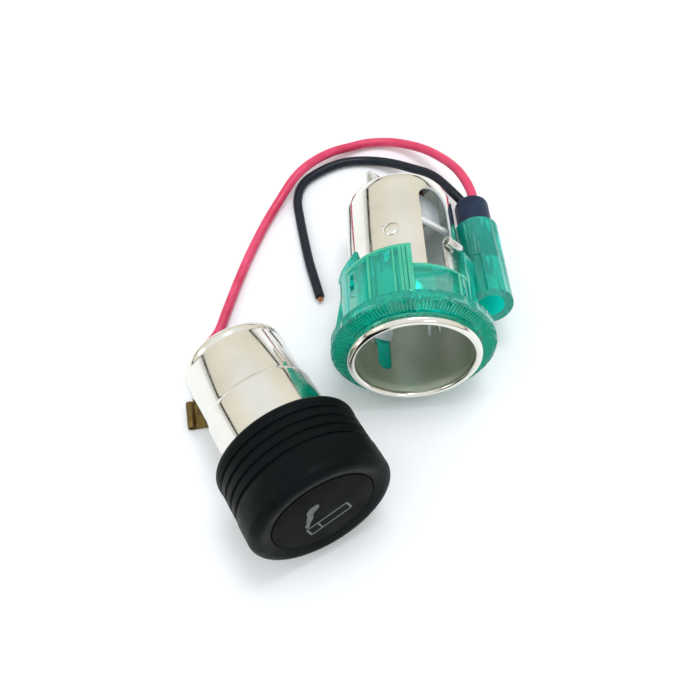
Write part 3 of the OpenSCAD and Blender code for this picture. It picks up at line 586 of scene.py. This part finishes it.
# The brims have the same paler green, as painted light.
brim_radius = 12.86
brim_steps = 24
for name, start, stop, low, high in (("tall_brim", -65, -1, 16.75, 17.45),
                                     ("low_brim", 1, 52, 12.05, 12.65)):
    sweep = [radians(start + (stop - start) * k / brim_steps) for k in range(brim_steps + 1)]
    path = [(-brim_radius * cos(angle), -brim_radius * sin(angle)) for angle in sweep]
    brim = bent_strip(name, path, width=high - low, thickness=0.2)
    brim.data.transform(Matrix.Translation((0, 0, (low + high) / 2000))
                        @ Matrix.Rotation(radians(-90), 4, "Y"))
    place(brim, socket_frame)
    smooth(brim)
    dress(brim, lit_brim_green, "lighter_set", "green_plastic")

# Lamp holder: a black rubber plug that is pushed into the back of the lamp tube by hand, with
# the two wires moulded in. Rubber is dull, with a slight sheen on the rounded end.
lamp_frame = (socket_frame @ Matrix.Translation((0.016, 0.002, 0.014))
              @ Matrix.Rotation(radians(-1), 4, "Y"))
holder_profile = ([(0.4, 10.2), (1.4, 10.2), (3.1, 10.3), (3.32, 10.6), (3.34, 19.5), (3.5, 19.6),
                   (3.58, 19.9), (3.58, 20.2), (3.5, 20.5), (3.5, 25.4)]
                  + arc(2.3, 25.9, 1.2, 0, 80, 7) + [(1.6, 27.15), (0.4, 27.15)])
holder = turned("lamp_holder_rubber", holder_profile, sides=64)
place(holder, lamp_frame)
smooth(holder)
rubber = finish("black_rubber", ("#14233a", "#20334f", 340), gloss=(500, 0.42, 0.6),
                bump=(2400, 0.00003), IOR=1.5, Roughness=0.5, Specular_IOR_Level=0.2)
dress(holder, rubber, "lighter_set", "black_rubber", "bulb_holder")

# Knob: ABS moulding with a soft matt paint, four grooves round it for the fingers and a rounded
# crest round the face. Its skirt closes over the socket's lip when the plug is in.
plug_frame = in_frame((-5, -33.4, 15.407), 8.979, 29.5)


def groove(level, width, outer, inner):
    """Profile points of a soft-edged groove."""
    return [(outer, level - width / 2 - 0.08), (outer - 0.06, level - width / 2 - 0.02),
            (inner + 0.05, level - width / 2 + 0.1), (inner, level),
            (inner + 0.05, level + width / 2 - 0.1), (outer - 0.06, level + width / 2 + 0.02),
            (outer, level + width / 2 + 0.08)]


knob_profile = ([(0.5, 3.0), (0.5, 1.1), (9.75, 1.1), (9.75, 0.16), (9.95, 0.04), (10.6, -0.12)]
                + arc(11.65, 1.4, 1.8, -105, 0, 14) + [(13.45, 3), (13.45, 5.2), (13.36, 5.38)])
first_groove = 6.1
groove_pitch = 1.94
for k in range(4):
    knob_profile += groove(first_groove + groove_pitch * k, width=0.62, outer=13.32, inner=12.88)
knob_profile += ([(13.34, 12.62), (13.44, 12.8), (13.45, 13.2)] + arc(12.25, 13.5, 1.2, 0, 72, 7)
                 + [(12.62, 14.6), (12.6, 12.0), (11.9, 11.8), (11.9, 3.0), (3.2, 3.0), (3.2, 7.6),
                    (1.5, 7.6), (1.5, 3.6), (0.5, 3.6)])
knob = turned("knob_moulding", knob_profile, sides=144)
place(knob, plug_frame)
smooth(knob)
soft_black = finish("matt_black_abs", ("#05090b", "#090e11", 200), gloss=(260, 0.4, 0.56),
                    bump=(3800, 0.00004, 0.5), IOR=1.5, Roughness=0.55, Specular_IOR_Level=0.07)
dress(knob, soft_black, "plug_core", "knob_plastic", "knob")

# Face disc: a separate moulded button cover of black ABS, pressed into the knob's face. It is a
# little smoother than the knob's paint, and carries the pad-printed sign.
disc_profile = [(0.3, 1.1), (9.5, 1.1), (9.6, 1.0), (9.6, 0.12), (9.5, 0.03), (9.2, 0), (0.3, 0)]
disc = turned("face_disc", disc_profile, sides=128)
place(disc, plug_frame)
smooth(disc)
disc_black = finish("satin_black_abs", ("#030405", "#06090a", 260), gloss=(300, 0.34, 0.48),
                    bump=(3400, 0.00003, 0.5), IOR=1.5, Roughness=0.5, Specular_IOR_Level=0.025)
dress(disc, disc_black, "plug_core", "disc_plastic", "knob_face_disc")

# Barrel: drawn nickel-plated steel tube that slides into the socket, with a step for stiffness
# and a curled-in rear edge. Its front end reaches into the knob's skirt, which slides over it.
barrel_profile = ([(9.9, 10.6), (10.35, 10.6), (10.35, 23.7)] + arc(10.05, 23.95, 0.3, 0, 60, 5)
                  + [(9.98, 24.5), (9.94, 24.75), (9.94, 25.1), (9.95, 34.3), (9.86, 34.6),
                     (9.9, 34.95), (10.03, 35.2), (10.04, 35.5)]
                  + arc(8.84, 35.65, 1.2, 8, 90, 9) + [(8.84, 36.4)]
                  + arc(8.75, 35.65, 0.75, 90, 0, 6) + [(9.5, 25), (9.9, 24), (9.9, 10.6)])
barrel = turned("barrel_skin", barrel_profile, sides=144, closed=False)
place(barrel, plug_frame)
smooth(barrel)
dress(barrel, nickel, "lighter_set", "nickel_steel", "barrel")

# Retaining springs: bright spring-steel strips in the two side windows, held by the light ring.
# Each has a curled end outside and a raised tongue that presses on the plug's barrel.
steel = finish("bright_spring_steel", ("#cfd0cd", "#e6e6e2", 260), gloss=(700, 0.18, 0.34),
               bump=(2600, 0.00001, 0.3), Metallic=1, Roughness=0.24)
leaf_radius = 11.225
curl = arc(-12.05, 20.2, 0.825, 0, 290, 22)
tongue = [(-11.2, 14.6), (-11.1, 15.2), (-10.75, 16.1), (-10.55, 16.8), (-10.5, 17.4),
          (-10.55, 18), (-10.75, 18.6), (-11.1, 19.4), (-11.2, 20)]
leaf_path = [(-leaf_radius, level) for level in (10, 15, 19.6)] + curl
for name, turn_by in (("upper", 43.44), ("lower", 223.44)):
    leaf = bent_strip("leaf_" + name, leaf_path, width=3.6, thickness=0.35)
    bump = bent_strip("tongue_" + name, tongue, width=2.4, thickness=0.3)
    leaf = joined("retaining_leaf_" + name, [leaf, bump])
    leaf.data.transform(Matrix.Rotation(radians(turn_by), 4, "Z"))
    place(leaf, socket_frame)
    smooth(leaf, 35)
    dress(leaf, steel, "lighter_set", "spring_steel", "retaining_spring_" + name)

# Heater clip: one bimetal strip bent into a U, with turned-out tips that snap over the heater
# cup and let go when it is hot. Riveted through an insulating spacer by the contact stud.
satin = finish("satin_plated_strip", ("#e6ebf0", "#f4f6f8", 300), gloss=(700, 0.42, 0.6),
               bump=(2400, 0.00001, 0.3), Metallic=0.8, Roughness=0.5)
clip_path = ([(-8.75, 27.8), (-9.05, 27.6), (-9.12, 27.25), (-8.95, 26.98), (-8.68, 26.9),
              (-8.4, 27.05), (-8.1, 27.45), (-7.5, 28.35), (-7.3, 28.9), (-7.3, 32)]
             + [(-y, z) for y, z in arc(6.5, 35.8, 0.8, 0, 90, 6)])
clip_path += [(-3, 36.6)] + [(-y, z) for y, z in reversed(clip_path)]
clip = bent_strip("heater_clip_strip", clip_path, width=7.2, thickness=0.4)
clip_clock = 38
clip.data.transform(Matrix.Rotation(radians(clip_clock), 4, "Z"))
place(clip, socket_frame)
smooth(clip, 35)
dress(clip, satin, "lighter_set", "spring_steel", "heater_clip")

# Insulators of the contact stud: a thick spacer under the clip and a thin washer outside,
# stamped from brown hard fibre, which looks like dull pressed board.
fibre = finish("hard_fibre", ("#5f3a2a", "#86553e", 900), gloss=(900, 0.55, 0.75),
               bump=(3200, 0.00004), IOR=1.5, Roughness=0.62)


def ring_section(bore, radius, low, high, edge):
    """Closed profile of a flat ring in millimetres, with its outer edges broken by edge."""
    return [(bore, low), (radius - edge, low), (radius, low + edge), (radius, high - edge),
            (radius - edge, high), (bore, high), (bore, low)]


spacer_profile = ring_section(bore=1.5, radius=5.6, low=36.8, high=39, edge=0.2)
washer_profile = ring_section(bore=1.5, radius=3.2, low=39.4, high=40.2, edge=0.15)
spacer = turned("spacer_disc", spacer_profile, sides=72, closed=False)
washer = turned("washer_disc", washer_profile, sides=64, closed=False)
for disc_part, stands_for in ((spacer, "clip_spacer"), (washer, "stud_washer")):
    place(disc_part, socket_frame)
    smooth(disc_part)
    dress(disc_part, fibre, "lighter_set", "fibre", stands_for)

# Contact stud, its nut and the positive spade tab: the stud is brass with a fine rolled thread,
# and its nut clamps the tab, which is stamped and bent from brass sheet.
brass = finish("plain_brass", ("#8f6f3c", "#b7965a", 330), gloss=(600, 0.2, 0.38),
               bump=(2800, 0.00001, 0.35), Metallic=1, Roughness=0.26)
stud_profile = [(0.3, 35.5), (2.1, 35.5), (2.4, 35.75), (2.4, 36.3), (2.3, 36.4),
                (1.47, 36.4), (1.47, 40.2)]
thread_pitch = 0.24
for k in range(14):
    stud_profile += [(1.47, 40.3 + thread_pitch * k), (1.28, 40.42 + thread_pitch * k)]
stud_profile += [(1.4, 43.68), (1.2, 43.8), (0.3, 43.8)]
stud = turned("contact_stud_brass", stud_profile, sides=48)
place(stud, socket_frame)
smooth(stud, 25)
dress(stud, brass, "lighter_set", "brass", "contact_stud")


def hole_cutter(radius, x, y, z, length, along):
    """A round cutter in millimetres, centred on a point, along an axis."""
    deselect()
    bpy.ops.mesh.primitive_cylinder_add(vertices=32, radius=radius / 1000, depth=length / 1000)
    piece = bpy.context.object
    if along == "Y":
        piece.data.transform(Matrix.Rotation(radians(90), 4, "X"))
    piece.data.transform(Matrix.Translation((x / 1000, y / 1000, z / 1000)))
    return piece


def blade_tip(piece, level, low, height, share):
    """Narrows what lies beyond a level along z, as a spade tab's chamfered tip."""
    for vertex in piece.data.vertices:
        z = vertex.co.z * 1000
        if z > level:
            vertex.co.x *= 1 - share * (z - low) / height


tab_path = ([(2.8, 40.6), (-3, 40.6)] + [(-y, z) for y, z in arc(6.6, 41.2, 0.6, -90, 0, 5)]
            + [(-7.2, 44), (-7.2, 45.2), (-7.2, 46.15)])
tab = bent_strip("positive_tab_sheet", tab_path, width=6.3, thickness=0.8)
blade_tip(tab, level=45.4, low=45.2, height=0.95, share=0.3)
cut_out(tab, [hole_cutter(radius=0.9, x=0, y=-7.2, z=43.9, length=3, along="Y"),
              hole_cutter(radius=1.5, x=0, y=0, z=40.6, length=3, along="Z")])
tab_clock = 132
tab.data.transform(Matrix.Rotation(radians(tab_clock), 4, "Z"))
place(tab, socket_frame)
smooth(tab, 35)
dress(tab, brass, "lighter_set", "brass", "positive_tab")

deselect()
bpy.ops.mesh.primitive_cylinder_add(vertices=6, radius=0.00308, depth=0.002,
                                    location=(0, 0, 0.042))
nut = bpy.context.object
nut.name = "stud_nut_hex"
bpy.ops.object.transform_apply(location=True)
nut_cap = turned("nut_cap", [(0.5, 40.9), (2.7, 40.9), (3.2, 41.3), (3.2, 42.7), (2.7, 43.1),
                             (0.5, 43.1)], sides=72)
corner = nut.modifiers.new("corner", "BOOLEAN")
corner.object = nut_cap
corner.operation = "INTERSECT"
corner.solver = "EXACT"
bpy.context.view_layer.objects.active = nut
bpy.ops.object.modifier_apply(modifier=corner.name)
bpy.data.objects.remove(nut_cap)
cut_out(nut, [hole_cutter(radius=1.5, x=0, y=0, z=42, length=4, along="Z")])
nut.data.transform(Matrix.Rotation(radians(12), 4, "Z"))
place(nut, socket_frame)
smooth(nut, 25)
dress(nut, steel, "lighter_set", "spring_steel", "stud_nut")

# Earth tab: a narrow plated spade, folded up along a line that runs out from the middle. Two
# spot welds, which leave small dents, hold its foot on the closed end.
earth_path = ([(2.8, 39.8), (1.4, 39.8)] + arc(0.9, 40.3, 0.5, -90, -180, 5)
              + [(0.4, 43), (0.4, 44), (0.4, 44.95)])
earth = bent_strip("earth_tab_sheet", earth_path, width=4.6, thickness=0.8)
blade_tip(earth, level=44.2, low=44, height=0.95, share=0.3)
cut_out(earth, [hole_cutter(radius=0.7, x=0, y=0.4, z=42.9, length=3, along="Y")]
        + [hole_cutter(radius=0.45, x=weld, y=2, z=40.25, length=0.4, along="Z")
           for weld in (-1.3, 1.3)])
earth_clock = -45
earth_radius = 0.0061
earth.data.transform(Matrix.Rotation(radians(earth_clock), 4, "Z")
                     @ Matrix.Translation((0, -earth_radius, 0))
                     @ Matrix.Rotation(radians(90), 4, "Z"))
place(earth, socket_frame)
smooth(earth, 35)
dress(earth, steel, "lighter_set", "spring_steel", "earth_tab")

# Wedge lamp: a small drawn-glass bulb, round at the tip and pinched flat at its base, which is
# gripped by the rubber holder. Its filament hangs between two lead wires.
glass = finish("clear_lamp_glass", ("#eef6f4", "#ffffff", 300), bump=(900, 0.00001, 0.2), IOR=1.5,
               Roughness=0.03, Transmission_Weight=1)
bulb_profile = (arc(0, 6, 2.3, -88, 0, 12)
                + [(2.3, 9.2), (2.1, 10), (1.5, 10.3), (1.5, 12.5), (0.3, 12.6), (0.3, 10.2),
                   (1.6, 9.6), (1.95, 9)] + arc(0, 6, 1.95, 0, -88, 12))
bulb = turned("lamp_glass_bulb", bulb_profile + [bulb_profile[0]], sides=64, closed=False)
place(bulb, lamp_frame)
smooth(bulb, 40)
dress(bulb, glass, "lighter_set", "lamp_glass", "bulb_glass")

tungsten = finish("drawn_tungsten", ("#6f6c68", "#9c9892", 1500), bump=(6000, 0.000005),
                  Metallic=1, Roughness=0.4)


def as_mesh(piece):
    """The piece with its curve made into a mesh."""
    pick(piece)
    bpy.ops.object.convert(target="MESH")
    return bpy.context.object


def coil_wire(name, radius, start, stop, turns, wire, steps=20, ends=0):
    """A wound round wire along z; sizes in millimetres, with closed turns at its ends."""
    line = []
    count = int(turns * steps)
    for k in range(count + 1):
        share = min(max((k - ends * steps) / max(count - 2 * ends * steps, 1), 0), 1)
        angle = 2 * pi * k / steps
        level = start + (stop - start) * share
        line.append(Vector((radius * cos(angle), radius * sin(angle), level)) / 1000)
    return as_mesh(wire_piece(name, line, wire / 1000))


filament = coil_wire("lamp_filament", radius=0.16, start=-0.8, stop=0.8, turns=9, wire=0.04,
                     steps=10)
filament.data.transform(Matrix.Translation((0, 0, 0.0059)) @ Matrix.Rotation(radians(90), 4, "Y"))
leads = []
for side in (-0.8, 0.8):
    lead_line = [Vector(point) / 1000 for point in (
        (side, 0, 5.9), (side * 1.05, 0, 7), (side * 0.8, 0, 9.6), (side * 0.7, 0, 12))]
    leads.append(as_mesh(wire_piece("lead", lead_line, 0.00008)))
filament = joined("lamp_filament", [filament] + leads)
place(filament, lamp_frame)
smooth(filament, 60)
dress(filament, tungsten, "lighter_set", "filament", "bulb_filament")

# Stem, collar and guide: a plain steel rod screwed into the knob's boss, which slides in the
# flanged bush across the barrel. The collar is riveted on as its stop.
stem_profile = [(0.3, 3.6), (1.3, 3.6), (1.5, 3.8), (1.5, 30.5), (1.35, 30.65), (0.3, 30.65)]
bush_profile = [(1.56, 19.4), (9.7, 19.4), (9.86, 19.5), (9.86, 20.3), (9.7, 20.4), (3, 20.4),
                (2.46, 20.9), (2.46, 23.8), (2.3, 24), (1.56, 24), (1.56, 19.4)]
collar_profile = ring_section(bore=1.5, radius=2.6, low=24.05, high=24.85, edge=0.1)
stem_parts = (
    ("stem_rod", stem_profile, "plug_core", "stem"),
    ("collar_ring", collar_profile, "plug_core", "stem_collar"),
    ("guide_bush", bush_profile, "lighter_set", "guide_plate"),
)
for name, profile, body, stands_for in stem_parts:
    part = turned(name, profile, sides=72, closed=profile[0] != profile[-1])
    place(part, plug_frame)
    smooth(part)
    dress(part, steel, body, "spring_steel", stands_for)

# Return spring: hard-drawn steel wire, five turns with closed ends, between the knob's front
# and the guide. It shortens as the knob is pushed.
spring = coil_wire("return_spring_wire", radius=5.2, start=3.5, stop=18.9, turns=7, wire=0.45,
                   steps=32, ends=1)
place(spring, plug_frame)
smooth(spring, 60)
dress(spring, steel, "lighter_set", "spring_steel", "return_spring")
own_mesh(spring)

# Heater cup: a shallow drawn cup with a rolled rim, which the clip grips. It holds the coil on
# its mica, and a stack of mica discs keeps its heat from the stem.
cup_profile = ([(0.85, 31.45), (6.6, 31.45)] + arc(6.5, 31.95, 0.5, -80, 0, 5) + [(7, 35.6)]
               + arc(6.95, 35.92, 0.33, -70, 170, 10)
               + [(6.6, 35.6), (6.6, 32.2), (6.3, 31.86), (0.85, 31.85), (0.85, 31.45)])
cup = turned("heater_cup_drawn", cup_profile, sides=96, closed=False)
place(cup, plug_frame)
smooth(cup)
dress(cup, steel, "plug_core", "spring_steel", "heater_cup")

mica = finish("pressed_mica", ("#b9ad94", "#e2dac6", 700), bump=(2600, 0.00003), IOR=1.58,
              Roughness=0.5)
for name, low, high, radius, stands_for in (("stem_mica", 30.65, 31.45, 4, "cup_insulator"),
                                            ("coil_mica", 31.86, 32.35, 6.5, "coil_insulator")):
    pad = turned(name, ring_section(0.85, radius, low, high, edge=0.1), sides=80, closed=False)
    place(pad, plug_frame)
    smooth(pad)
    dress(pad, mica, "plug_core", "ceramic", stands_for)

# Heater ribbon: flat resistance strip wound on edge into a spiral. Heat has turned it dark
# grey-brown. Its inner end is riveted to the stem, its outer one to the cup.
oxide = finish("oxidised_resistance_ribbon", ("#3d3632", "#6b605a", 800), gloss=(800, 0.4, 0.65),
               bump=(2600, 0.00002), Metallic=0.85, Roughness=0.5)
turns, turn_steps = 4, 40
inner_end, outer_end = 1.5, 6.1
spiral = []
for k in range(turns * turn_steps + 1):
    reach = inner_end + (outer_end - inner_end) * k / (turns * turn_steps)
    angle = 2 * pi * k / turn_steps
    spiral.append((reach * cos(angle), reach * sin(angle)))
ribbon = bent_strip("heater_ribbon_spiral", spiral, width=2.76, thickness=0.3)
ribbon.data.transform(Matrix.Translation((0, 0, 0.03375)) @ Matrix.Rotation(radians(-90), 4, "Y"))
place(ribbon, plug_frame)
smooth(ribbon, 50)
dress(ribbon, oxide, "plug_core", "heater_ribbon", "heater_coil")
rivet_profile = [(0.2, 30.7), (0.8, 30.7), (0.8, 32.35), (1.3, 32.35), (1.28, 32.55),
                 (1.05, 32.75), (0.6, 32.84), (0.2, 32.85)]
rivet = turned("coil_rivet_head", rivet_profile, sides=40)
place(rivet, plug_frame)
smooth(rivet, 40)
dress(rivet, steel, "plug_core", "spring_steel", "coil_rivet")

# Red wire's receptacle: brass sheet rolled over at both sides to take a spade tab, with two
# pairs of wings crimped round the copper strands and round the insulation.
terminal_place = (Matrix.Translation((-0.0294, -0.012, 0)) @ Matrix.Rotation(radians(9.5), 4, "Z"))


def sheet_along(name, section, start, stop, thickness):
    """Sheet with an (x, z) section in millimetres, drawn out from start to stop along y."""
    piece = bent_strip(name, section, stop - start, thickness)
    piece.data.transform(Matrix.Translation((0, (start + stop) / 2000, 0))
                         @ Matrix.Rotation(radians(-90), 4, "Z"))
    return piece


roll = arc(1.7, 0.8, 0.625, -90, 165, 14)
box_section = [(-x, z) for x, z in reversed(roll)] + [(-0.8, 0.175), (0.8, 0.175)] + roll
crimp_ring = arc(0, 1.25, 1.07, -90, 78, 12) + [(0.12, 2.0), (0.08, 1.75)]
crimp_section = [(-x, z) for x, z in reversed(crimp_ring)] + crimp_ring
core_ring = arc(0, 0.9, 0.72, -90, 74, 10) + [(0.1, 1.3), (0.07, 1.1)]
core_section = [(-x, z) for x, z in reversed(core_ring)] + core_ring
neck_section = [(-1, 0.5), (-0.85, 0.2), (0, 0.175), (0.85, 0.2), (1, 0.5)]
bridge_section = [(-0.9, 0.6), (-0.6, 0.25), (0, 0.175), (0.6, 0.25), (0.9, 0.6)]
sheets = [sheet_along("box", box_section, start=0.05, stop=5.5, thickness=0.35),
          sheet_along("neck", neck_section, start=5.3, stop=8.6, thickness=0.3),
          sheet_along("core_crimp", core_section, start=8.1, stop=10.3, thickness=0.3),
          sheet_along("bridge", bridge_section, start=10, stop=11.6, thickness=0.3),
          sheet_along("skin_crimp", crimp_section, start=11.3, stop=13.75, thickness=0.3)]
terminal = joined("receptacle_sheet", sheets)
place(terminal, terminal_place)
smooth(terminal, 40)
tarnish = finish("tarnished_brass", ("#5c4b2b", "#806c40", 500), gloss=(600, 0.38, 0.55),
                 bump=(2600, 0.00002, 0.4), Metallic=1, Roughness=0.44)
dress(terminal, tarnish, "lighter_set", "brass", "red_terminal")

# Pad-printed sign on the knob: a thin grey outline of a cigarette with rising smoke, the common
# sign for a lighter.
ink = finish("grey_pad_ink", ("#3f4948", "#535d5b", 900), bump=(3000, 0.00001), IOR=1.5,
             Roughness=0.45)


def printed_stroke(points, widths):
    """A flat printed stroke on the face disc, through (right, down) points in millimetres."""
    line = [Vector((x, y, -0.01)) / 1000 for x, y in points]
    piece = wire_piece("stroke", line, 0.0005)
    for point, width in zip(piece.data.splines[0].points, widths):
        point.radius = width
    piece = as_mesh(piece)
    for vertex in piece.data.vertices:
        vertex.co.z = (vertex.co.z + 0.00001) * 0.04 - 0.00001
    return piece


outline = [(-3.62, 3.1), (4.3, 0.86), (4.98, 3.26), (-2.94, 5.5), (-3.62, 3.1)]
strokes = [printed_stroke([p, q], [0.42, 0.42]) for p, q in zip(outline, outline[1:])]
strokes.append(printed_stroke([(-1.48, 2.5), (-0.8, 4.9)], [0.34, 0.34]))
smoke = [(-3.25, 2.5), (-3.35, 1.7), (-2.95, 0.8), (-2.75, 0), (-2.5, -0.7), (-2.45, -1.5),
         (-2.2, -2.3), (-1.6, -3), (-0.9, -3.3), (-0.5, -3.3)]
strokes.append(printed_stroke(smoke, [0.5, 0.9, 0.8, 1.3, 1.2, 1.1, 1.7, 1.9, 1.5, 0.6]))
sign = joined("printed_sign", strokes)
place(sign, plug_frame)
dress(sign, ink, "plug_core", "disc_plastic")
